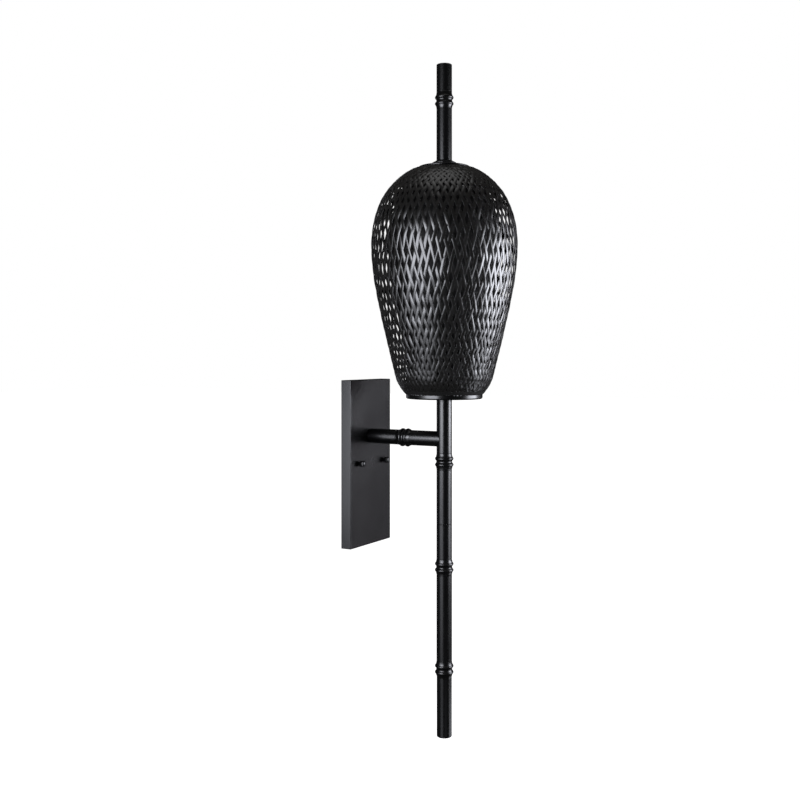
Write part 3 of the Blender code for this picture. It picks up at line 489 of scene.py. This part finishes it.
def make_cap_nut(side):
    """Knurled cap nut with a neck, a straight knurl between two chamfers, and a low crown."""
    node = f"cap_nut_{side}"
    low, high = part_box(node)
    centre = (low + high) / 2
    radius, length = (high.x - low.x) / 2, high.y - low.y
    neck_radius, neck = 3.5 * MM, 2.4 * MM
    teeth, depth = 24, 0.55 * MM
    rings = [
        (0.0, 0.0, 0.0),
        (neck_radius - 0.3 * MM, 0.0, 0.0),
        (neck_radius, 0.3 * MM, 0.0),
        (neck_radius, neck, 0.0),
        (radius - 0.8 * MM, neck + 0.1 * MM, 0.0),
        (radius - 0.1 * MM, neck + 0.6 * MM, depth),
        (radius, neck + 0.9 * MM, depth),
        (radius, length - 2.2 * MM, depth),
        (radius - 0.1 * MM, length - 1.9 * MM, depth),
        (radius - 0.7 * MM, length - 1.3 * MM, 0.0),
        (radius - 1.1 * MM, length - 0.7 * MM, 0.0),
        (radius - 2.0 * MM, length - 0.2 * MM, 0.0),
        (radius - 3.4 * MM, length, 0.0),
        (0.0, length, 0.0),
    ]
    form = bmesh.new()
    loops = []
    count = 4 * teeth
    for r, h, cut in rings:
        ring = []
        for i in range(count if r > 0 else 1):
            reach = r - cut * (0.5 - 0.5 * math.cos(math.tau * i / 4))
            a = math.tau * i / count
            ring.append(form.verts.new((reach * math.cos(a), reach * math.sin(a), h)))
        loops.append(ring)
    for lower, upper in zip(loops, loops[1:]):
        for i in range(count):
            j = (i + 1) % count
            corners = [lower[i % len(lower)], lower[j % len(lower)]]
            corners += [upper[j % len(upper)], upper[i % len(upper)]]
            form.faces.new(list(dict.fromkeys(corners)))
    bmesh.ops.transform(
        form, matrix=Matrix.Translation((centre.x, high.y, centre.z)) @ TO_ROOM, verts=form.verts
    )
    piece_from(f"{node}_fine", form, "black_paint", node, node)


# ---------------------------------------------------------------- shade


def taper_radius(z, widest, slope, knee):
    """Radius under the widest height, where the side bends smoothly into a straight taper."""
    return widest - (math.hypot(slope * (WIDEST_Z - z), knee) - knee)


def shade_radius(z):
    """Outer radius of the woven shade below its widest height."""
    radius = taper_radius(z, WIDEST_RADIUS, TAPER_SLOPE, TAPER_KNEE)
    if z < HEM_START:
        radius -= HEM_IN * ((HEM_START - z) / (HEM_START - RING_TOP)) ** 1.8
    return radius


def dome(radius, widest, height):
    return WIDEST_Z + height * (1 - (radius / widest) ** DOME_POWER) ** (1 / DOME_POWER)


def outer_outline(top_radius, bottom):
    """Points (radius, height) of the outer shade, from its crown down."""
    edge = dome(FLAT_RADIUS, WIDEST_RADIUS, DOME_HEIGHT)
    points = [(top_radius, edge + (FLAT_RADIUS - top_radius) * FLAT_RISE_PER_RADIUS)]
    start = math.acos(FLAT_RADIUS / WIDEST_RADIUS)
    for i in range(DOME_STEPS):
        r = WIDEST_RADIUS * math.cos(start * (1 - i / DOME_STEPS))
        points.append((r, dome(r, WIDEST_RADIUS, DOME_HEIGHT)))
    for i in range(SIDE_STEPS + 1):
        z = WIDEST_Z + (bottom - WIDEST_Z) * i / SIDE_STEPS
        points.append((shade_radius(z), z))
    return points


def inner_outline(top_radius, bottom):
    """Points (radius, height) of the inner shade, from its crown down."""
    widest = INNER_WIDEST_RADIUS
    start = math.acos(top_radius / widest)
    points = []
    for i in range(DOME_STEPS):
        r = widest * math.cos(start * (1 - i / DOME_STEPS))
        points.append((r, dome(r, widest, INNER_DOME_HEIGHT)))
    for i in range(SIDE_STEPS + 1):
        z = WIDEST_Z + (bottom - WIDEST_Z) * i / SIDE_STEPS
        points.append((taper_radius(z, widest, INNER_TAPER_SLOPE, INNER_TAPER_KNEE), z))
    return points


def even_stations(points, spacing):
    """Stations at even steps along an outline: position, outward normal, and distance from its start."""
    line = np.array(points)
    reach = np.concatenate([[0], np.cumsum(np.hypot(*np.diff(line, axis=0).T))])
    count = int(round(reach[-1] / spacing))
    s = np.linspace(0, reach[-1], count + 1)
    r, z = np.interp(s, reach, line[:, 0]), np.interp(s, reach, line[:, 1])
    dr, dz = np.gradient(r, s), np.gradient(z, s)
    for _ in range(2):
        dr = np.convolve(np.pad(dr, 1, "edge"), [0.25, 0.5, 0.25], "valid")
        dz = np.convolve(np.pad(dz, 1, "edge"), [0.25, 0.5, 0.25], "valid")
    size = np.hypot(dr, dz)
    return s, r, z, -dz / size, dr / size


def slow_noise(chance, count, stations, knots):
    """One smooth random line from -1 to 1 for each strip."""
    values = chance.uniform(-1, 1, (count, knots))
    at = np.linspace(0, knots - 1.001, stations)
    low = at.astype(int)
    t = at - low
    t = t * t * (3 - 2 * t)
    return values[:, low] * (1 - t) + values[:, low + 1] * t


def make_weave(
    name, outline, strips, widest_strip, fill, thickness, crown, twist, spacing, node, seed, material
):
    """A plain diagonal weave of flat strips on a surface of revolution.

    strips run each way, and each way is a piece. A strip is widest_strip wide, or fill of its share of
    the circle where that is less. twist gives the sine of its angle from upright, from a radius and a
    height.
    """
    chance = np.random.default_rng(seed)
    s, r, z, nr, nz = even_stations(outline, spacing)
    sine = np.array([twist(a, b) for a, b in zip(r, z)])
    tangent = sine / np.sqrt(1 - sine**2)
    step = np.gradient(s)
    wind = np.cumsum(tangent / r * step)
    wind -= wind[0]
    share = 2 * np.pi * r / strips * np.sqrt(1 - sine**2)
    width = np.minimum(widest_strip, fill * share)
    top, edge = thickness / 2, thickness / 2 - crown
    shoulder, rim = (0.88, edge + 0.2 * crown), (0.96, edge - 0.07 * MM)
    section = [(-1.0, 0.1 * edge), (-rim[0], rim[1]), (-shoulder[0], shoulder[1]), (0.0, top)]
    section += [shoulder, rim, (1.0, 0.1 * edge), (0.9, -top), (-0.9, -top)]
    corners, n = len(section), len(s)
    for way, layer_name, first in ((1, "right", 0), (-1, "left", strips)):
        verts, faces, caps, uvs = [], [], [], []
        drift = slow_noise(chance, strips, n, DRIFT_KNOTS) * DRIFT_MM * MM
        swell = 1 + SWELL * slow_noise(chance, strips, n, SWELL_KNOTS)
        lift = slow_noise(chance, strips, n, LIFT_KNOTS) * LIFT_MM * MM
        roll = slow_noise(chance, strips, n, ROLL_KNOTS) * ROLL
        for k in range(strips):
            phi = 2 * np.pi * k / strips + way * wind + drift[k] / r
            wave = np.cos(strips * wind)
            wave = way * wave / np.sqrt(wave**2 + WAVE_ROUNDNESS * (1 - wave**2))
            out = wave * WAVE_HEIGHT * thickness + lift[k]
            radius, height = r + nr * out, z + nz * out
            path = np.stack([radius * np.cos(phi), radius * np.sin(phi), height], 1)
            along = np.gradient(path, axis=0)
            along /= np.linalg.norm(along, axis=1)[:, None]
            normal = np.stack([nr * np.cos(phi), nr * np.sin(phi), nz], 1)
            normal -= (normal * along).sum(1)[:, None] * along
            normal /= np.linalg.norm(normal, axis=1)[:, None]
            side = np.cross(normal, along)
            half = width * swell[k] / 2
            for u, up in section:
                rise = up + u * half * np.sin(roll[k])
                verts.append(path + side * (u * half)[:, None] + normal * rise[:, None])
            base = k * corners * n
            i = np.arange(n - 1)
            for c in range(corners):
                d = (c + 1) % corners
                a, b = base + c * n, base + d * n
                faces.append(np.stack([a + i, a + i + 1, b + i + 1, b + i], 1))
                va = first + k + 0.5 + 0.45 * section[c][0]
                vb = first + k + 0.5 + 0.45 * section[d][0]
                near, far = np.full(n - 1, va), np.full(n - 1, vb)
                flat = np.stack([s[:-1], near, s[1:], near, s[1:], far, s[:-1], far], 1)
                uvs.append(flat.reshape(-1, 2))
            ring = base + n * np.arange(corners)
            caps += [ring[::-1].tolist(), (ring + n - 1).tolist()]
        verts = np.concatenate(verts) + np.array(POLE)
        faces = np.concatenate(faces).tolist() + caps
        uvs.append(np.repeat(np.arange(first, first + strips) + 0.5, 2 * corners)[:, None] * [0, 1])
        mesh = bpy.data.meshes.new(f"{name}_{layer_name}")
        mesh.from_pydata(verts.tolist(), [], faces)
        layer = mesh.uv_layers.new(name="strip")
        layer.data.foreach_set("uv", np.concatenate(uvs).astype(np.float32).ravel())
        finish_piece(mesh.name, mesh, "black_rattan", "shade", node, material=material)


def outer_twist(radius, height):
    """The strips of the outer shade lie steeper below the widest height than over the crown."""
    t = min(1.0, max(0.0, (height - OUTER_LEAN_START_Z) / OUTER_LEAN_FADE))
    reach = (OUTER_LEAN + OUTER_LEAN_GAIN * t * t * (3 - 2 * t)) * MM
    return min(OUTER_LEAN_MOST, reach / radius)


def inner_twist(radius, height):
    return min(INNER_LEAN_MOST, INNER_LEAN / radius)


def make_shades():
    wall = 1.0 * MM  # from the outside of the shade to the middle of the weave
    outside = [(a - wall, b) for a, b in outer_outline(40 * MM, RING_TOP + 0.5 * MM)]
    outside = [(a, b - (0.6 * MM if a < 100 * MM and b > WIDEST_Z else 0)) for a, b in outside]
    make_weave(
        "outer_weave", outside, strips=60, widest_strip=6.0 * MM, fill=0.92, thickness=0.58 * MM,
        crown=0.13 * MM, twist=outer_twist, spacing=3.6 * MM,
        node="outer_shade", seed=SEED, material=MATERIALS["black_rattan"],
    )
    inside = [(a - wall, b) for a, b in inner_outline(42.4 * MM, 127 * MM)]
    make_weave(
        "inner_weave", inside, strips=60, widest_strip=9.0 * MM, fill=0.95, thickness=0.55 * MM,
        crown=0.08 * MM, twist=inner_twist, spacing=5.5 * MM,
        node="inner_shade", seed=SEED + 1, material=make_cane("inner_rattan", 0.50, 0.60, 0.25, 0.0),
    )


def make_binding():
    """Dull cane band that covers the ends of the strips, just above the ring."""
    middle, half = 131.6 * MM, 2.8 * MM
    heights = [middle + half * (1 - i / 4) for i in range(9)]
    profile = [(shade_radius(z) + 0.25 * MM, z) for z in heights]
    profile += [(shade_radius(z) - 0.55 * MM, z) for z in reversed(heights)]
    outside = profile[4][0]
    band = turned("hem_band", profile, "black_rattan", "shade", at=POLE, edge=0.15 * MM)
    band.data.materials[0] = bpy.data.materials["inner_rattan"]
    layer = band.data.uv_layers.new(name="strip")
    for face in band.data.polygons:
        turn = math.atan2(face.center.y - POLE_Y, face.center.x)
        for index in face.loop_indices:
            place = band.data.vertices[band.data.loops[index].vertex_index].co
            off = math.atan2(place.y - POLE_Y, place.x) - turn
            off = (off + math.pi) % math.tau - math.pi
            layer.data[index].uv = ((turn + off) * outside, 0.5 + 0.4 * (place.z - middle) / half)


def make_ring():
    """Rim with a rounded lower edge, four flat arms and a hub."""
    low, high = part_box("base_ring")
    radius = (high.x - low.x) / 2
    form = bmesh.new()
    inside, ledge, step = radius - 2.4 * MM, 57 * MM, 3 * MM
    profile = [
        (inside, high.z),
        (radius - 0.5 * MM, high.z),
        (radius, high.z - 0.5 * MM),
        (radius, low.z + 2.4 * MM),
        (radius - 0.7 * MM, low.z + 0.8 * MM),
        (radius - 2.4 * MM, low.z),
        (ledge, low.z),
        (ledge, low.z + step),
        (inside, low.z + step),
    ]
    lathe(form, rounded(profile, 0.5 * MM), POLE, None, 128)
    for turn in (45, 135):
        matrix = Matrix.Translation((0, POLE_Y, low.z + step / 2))
        matrix = matrix @ Matrix.Rotation(math.radians(turn), 4, "Z")
        box_into(form, (2 * ledge + 3 * MM, 8 * MM, step - 0.4 * MM), matrix, 0.4 * MM)
    bore, outside, top = 5.25 * MM, 14 * MM, low.z + 3.6 * MM
    hub = [(bore, top), (outside, top), (outside, low.z), (bore, low.z)]
    lathe(form, rounded(hub, 0.4 * MM), POLE, None, 64)
    weigh_normals(piece_from("base_ring_fine", form, "black_paint", "fixture", "base_ring"))


def make_bush():
    """Bush in the top of the arm's pole section: a collar under the ring, a spigot in the tube."""
    low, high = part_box("hub_bush")
    _, tube_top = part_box("hub_tube")
    bore, spigot, top = 5.3 * MM, TUBE_RADIUS - SPIGOT_STEP, high.z + 0.5 * MM
    profile = [(bore, top), (TUBE_RADIUS, top), (TUBE_RADIUS, tube_top.z)]
    profile += [(spigot, tube_top.z), (spigot, low.z), (bore, low.z)]
    turned("hub_bush_fine", profile, "black_paint", "fixture", "hub_bush", at=POLE, edge=0.15 * MM)


def make_crown():
    low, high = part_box("top_cap")
    radius = (high.x - low.x) / 2
    cap = [
        (CROWN_BORE, high.z),
        (14.4 * MM, high.z),
        (15.2 * MM, high.z - 0.5 * MM),
        (radius - 0.5 * MM, low.z + 1.6 * MM),
        (radius, low.z + 1.0 * MM),
        (radius, low.z),
        (CROWN_BORE, low.z),
    ]
    turned("top_cap_fine", cap, "black_paint", "cap", "top_cap", at=POLE, edge=0.35 * MM)
    low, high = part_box("crown_cover")
    radius, top = (high.x - low.x) / 2, high.z
    cover = [
        (CROWN_BORE, top),
        (22 * MM, top),
        (radius - 0.8 * MM, top - 5.2 * MM),
        (radius, top - 5.8 * MM),
        (radius, top - 7.6 * MM),
        (radius - 1.2 * MM, top - 7.6 * MM),
        (radius - 1.2 * MM, top - 6.6 * MM),
        (22 * MM, top - 1.4 * MM),
        (CROWN_BORE, top - 1.4 * MM),
    ]
    turned("crown_cover_fine", cover, "black_paint", "shade", "crown_cover", at=POLE, edge=0.4 * MM)


# ---------------------------------------------------------------- lampholders and bulbs


def smooth_line(points, steps):
    """A Catmull-Rom curve through points of (radius, height)."""
    padded = [Vector(p) for p in (points[0], *points, points[-1])]
    result = []
    for a, b, c, d in zip(padded, padded[1:], padded[2:], padded[3:]):
        for i in range(steps):
            t = i / steps
            bend = (2 * a - 5 * b + 4 * c - d) * t**2 + (3 * b - a - 3 * c + d) * t**3
            result.append(tuple(b + ((c - a) * t + bend) / 2))
    return [*result, points[-1]]


def make_socket(side):
    """Moulded candelabra lampholder with a rounded rim and two shallow grooves."""
    node = f"socket_{side}"
    low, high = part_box(node)
    radius, height = (high.x - low.x) / 2, high.z - low.z
    groove = radius - 0.5 * MM
    profile = [(SOCKET_BORE, SOCKET_FLOOR), (SOCKET_BORE, height), (radius - 1 * MM, height)]
    profile += [(radius, height - 1 * MM)]
    for at in (height - 5 * MM, height - 8 * MM):
        profile += [(radius, at + 0.5 * MM), (groove, at + 0.2 * MM)]
        profile += [(groove, at - 0.2 * MM), (radius, at - 0.5 * MM)]
    profile += [(radius, 0), (SOCKET_ENTRY, 0), (SOCKET_ENTRY, 6 * MM), (0, 6 * MM), (0, SOCKET_FLOOR)]
    at = ((low.x + high.x) / 2, POLE_Y, low.z)
    turned(
        f"{node}_fine", profile, "phenolic", "fixture", node,
        at=at, sides=SMALL_SIDES, edge=0.25 * MM,
    )


def make_bulb_glass(side):
    """Smooth candle envelope, open at its neck."""
    node = f"bulb_glass_{side}"
    low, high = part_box(node)
    radius, tip, belly = (high.x - low.x) / 2, high.z - low.z, high.z - low.z - 64 * MM
    neck = BULB_NECK
    outside = [
        (neck, 6.4 * MM),
        (0.80 * radius, belly - 13 * MM),
        (radius, belly),
        (0.90 * radius, belly + 16 * MM),
        (0.47 * radius, tip - 20 * MM),
        (0.13 * radius, tip - 2.4 * MM),
        (0, tip),
    ]
    skin = [(neck, 0), (neck, 3 * MM)] + smooth_line(outside, 8)
    inside = [(max(r - 0.8 * MM, 0), min(h, tip - 2.6 * MM)) for r, h in skin]
    inside = [p for p in inside if p[0] > 0] + [(0, tip - 2.8 * MM)]
    at = ((low.x + high.x) / 2, POLE_Y, low.z)
    turned(
        f"{node}_fine", inside[::-1] + skin, "clear_glass", f"bulb_{side}", node,
        at=at, sides=SMALL_SIDES, edge=0,
    )


# ---------------------------------------------------------------- scene around it


def make_floor():
    """A plain white studio floor, well below a fixture that hangs on a wall."""
    form = bmesh.new()
    bmesh.ops.create_grid(form, x_segments=1, y_segments=1, size=30.0)
    mesh = bpy.data.meshes.new("floor")
    form.to_mesh(mesh)
    form.free()
    floor = bpy.data.objects.new("floor", mesh)
    floor.location = (0, 0, FLOOR_Z)
    bpy.context.scene.collection.objects.link(floor)
    material = bpy.data.materials.new("floor_white")
    material.use_nodes = True
    shader = material.node_tree.nodes["Principled BSDF"]
    shader.inputs["Base Color"].default_value = (0.9, 0.9, 0.9, 1)
    shader.inputs["Roughness"].default_value = 0.9
    shader.inputs["Emission Color"].default_value = (1, 1, 1, 1)
    shader.inputs["Emission Strength"].default_value = 1.0
    mesh.materials.append(material)
    floor.visible_glossy = False
    floor.visible_diffuse = False


def make_world():
    """White for the camera, dim for the light on the object, so the softboxes do the lighting."""
    world = bpy.data.worlds.new("studio")
    bpy.context.scene.world = world
    world.use_nodes = True
    tree = world.node_tree
    tree.nodes.clear()
    out = tree.nodes.new("ShaderNodeOutputWorld")
    mix = tree.nodes.new("ShaderNodeMixShader")
    dim = tree.nodes.new("ShaderNodeBackground")
    white = tree.nodes.new("ShaderNodeBackground")
    path = tree.nodes.new("ShaderNodeLightPath")
    white.inputs["Color"].default_value = (1, 1, 1, 1)
    # a little brighter and warmer towards the ceiling
    way = tree.nodes.new("ShaderNodeTexCoord")
    split = tree.nodes.new("ShaderNodeSeparateXYZ")
    tree.links.new(way.outputs["Generated"], split.inputs[0])
    ramp = tree.nodes.new("ShaderNodeValToRGB")
    stops = ramp.color_ramp
    for place, grey, warmth in (
        (0.0, 0.045, 0.0), (0.64, 0.042, 0.0), (0.86, 0.05, 0.08), (0.94, 0.065, 0.15), (1.0, 0.09, 0.15)
    ):
        stop = stops.elements.new(place)
        stop.color = (grey, grey * (1 - warmth / 2), grey * (1 - warmth), 1)
    stops.elements.remove(stops.elements[0])
    stops.elements.remove(stops.elements[-1])
    height = tree.nodes.new("ShaderNodeMapRange")
    height.inputs["From Min"].default_value = -1
    tree.links.new(split.outputs[2], height.inputs["Value"])
    tree.links.new(height.outputs["Result"], ramp.inputs[0])
    tree.links.new(ramp.outputs["Color"], dim.inputs["Color"])
    tree.links.new(path.outputs["Is Camera Ray"], mix.inputs[0])
    tree.links.new(dim.outputs[0], mix.inputs[1])
    tree.links.new(white.outputs[0], mix.inputs[2])
    tree.links.new(mix.outputs[0], out.inputs[0])


def add_panel(name, bearing, width, bottom, top, radiance, tint=(0.90, 0.92, 1.0)):
    """An upright area light that faces the pole.

    bearing is in degrees from the camera's, anticlockwise from above.
    """
    light = bpy.data.lights.new(name, "AREA")
    light.shape = "RECTANGLE"
    light.size, light.size_y = width, top - bottom
    light.energy = radiance * math.pi * width * (top - bottom)
    light.color = tint
    holder = bpy.data.objects.new(name, light)
    a = math.radians(TO_CAMERA + bearing)
    away = Vector((math.cos(a), math.sin(a), 0))
    holder.location = POLE + away * PANEL_DISTANCE + Vector((0, 0, (bottom + top) / 2))
    holder.rotation_euler = (-away).to_track_quat("-Z", "Y").to_euler()
    holder.visible_camera = False
    bpy.context.scene.collection.objects.link(holder)


def make_camera():
    """Level camera at bulb height, 60 degrees round from the wall's normal."""
    camera = bpy.data.cameras.new("camera")
    camera.lens = 46.6
    camera.sensor_width = 36.0
    camera.shift_y = -0.0594
    camera.clip_start, camera.clip_end = 0.05, 100
    holder = bpy.data.objects.new("camera", camera)
    bearing = math.radians(TO_CAMERA - 180)
    forward = Vector((math.cos(bearing), math.sin(bearing), 0))
    right = Vector((math.sin(bearing), -math.cos(bearing), 0))
    holder.location = POLE - forward * CAMERA_DISTANCE - right * CAMERA_ASIDE + Vector((0, 0, CAMERA_Z))
    holder.rotation_euler = forward.to_track_quat("-Z", "Y").to_euler()
    bpy.context.scene.collection.objects.link(holder)
    bpy.context.scene.camera = holder


# ---------------------------------------------------------------- everything

MATERIALS = {
    "black_paint": make_black_paint(),
    "black_rattan": make_cane("black_rattan", 0.20, 0.26, 0.5, 0.3),
    "zinc_steel": make_metal("zinc_steel", (0.58, 0.59, 0.60), (0.42, 0.43, 0.45), 0.26, 0.42),
    "brass": make_metal("brass", (0.74, 0.52, 0.22), (0.55, 0.37, 0.15), 0.22, 0.38),
    "bulb_metal": make_metal("bulb_metal", (0.66, 0.64, 0.60), (0.50, 0.48, 0.45), 0.20, 0.32),
    "green_screw": make_metal("green_screw", (0.06, 0.36, 0.13), (0.03, 0.22, 0.08), 0.28, 0.42),
    "phenolic": make_plastic("phenolic", (0.020, 0.018, 0.017), (0.032, 0.028, 0.026), 0.32, 0.46),
    "white_plastic": make_plastic("white_plastic", (0.80, 0.80, 0.77), (0.72, 0.72, 0.69), 0.34, 0.48),
    "black_jacket": make_plastic("black_jacket", (0.014,) * 3, (0.024,) * 3, 0.45, 0.60),
    "green_jacket": make_plastic("green_jacket", (0.02, 0.24, 0.06), (0.03, 0.32, 0.09), 0.40, 0.55),
    "clear_glass": make_glass(),
}
TUBE_RADIUS = tube_radius("fixed_tube")

make_camera()
for tube in ("hub_tube", "fixed_tube"):
    make_tube(tube, "fixture")
for tube in ("lower_tube_top", "lower_tube_middle", "lower_tube_bottom"):
    make_tube(tube, "lower_pole")
for tube in ("upper_tube", "upper_tip_tube"):
    make_tube(tube, "upper_pole")
make_node("hub_node", "fixture")
make_node("lower_node", "lower_pole")
make_node("foot_node", "lower_pole", lower=tube_radius("lower_tube_bottom"))
make_node("upper_node", "upper_pole")
make_plug("upper_end_plug", "upper_pole", 1)
make_plug("bottom_plug", "lower_pole", -1)
make_arm()
make_wall_plate()
make_cap_nut("left")
make_cap_nut("right")
make_ring()
make_bush()
make_crown()
make_shades()
make_binding()
for side in ("left", "right"):
    make_socket(side)
    make_bulb_glass(side)

slots = {part["node"]: part["material_slot"] for part in frame["record"]["subparts"]}
for name, node in frame["nodes"].items():
    node.data.materials.clear()
    node.data.materials.append(MATERIALS[slots[name]])

make_floor()
make_world()
for panel in (
    ("left_main", -40, 1.10, -0.10, 0.72, 9.4),
    ("left_soft", -44, 1.25, -0.75, 0.95, 1.6),
    ("left_side", -66, 0.50, -0.38, 0.10, 2.0),
    ("left_low", -40, 1.10, -1.25, -0.98, 1.3),
    ("front_low", 20, 1.00, -1.25, -0.98, 0.3),
    ("right_main", 91, 0.98, -0.12, 0.55, 10.2),
    ("right_soft", 85, 1.15, -0.50, 0.80, 4.0),
    ("right_low", 100, 1.15, -1.50, -0.95, 2.5),
    ("fill", 113, 0.40, -0.70, 1.05, 0.42, (0.95, 0.90, 1.0)),
    ("fill_far", 128, 0.34, -0.70, 1.05, 0.22, (0.95, 0.90, 1.0)),
):
    add_panel(*panel)
bpy.context.scene.view_settings.view_transform = "Standard"
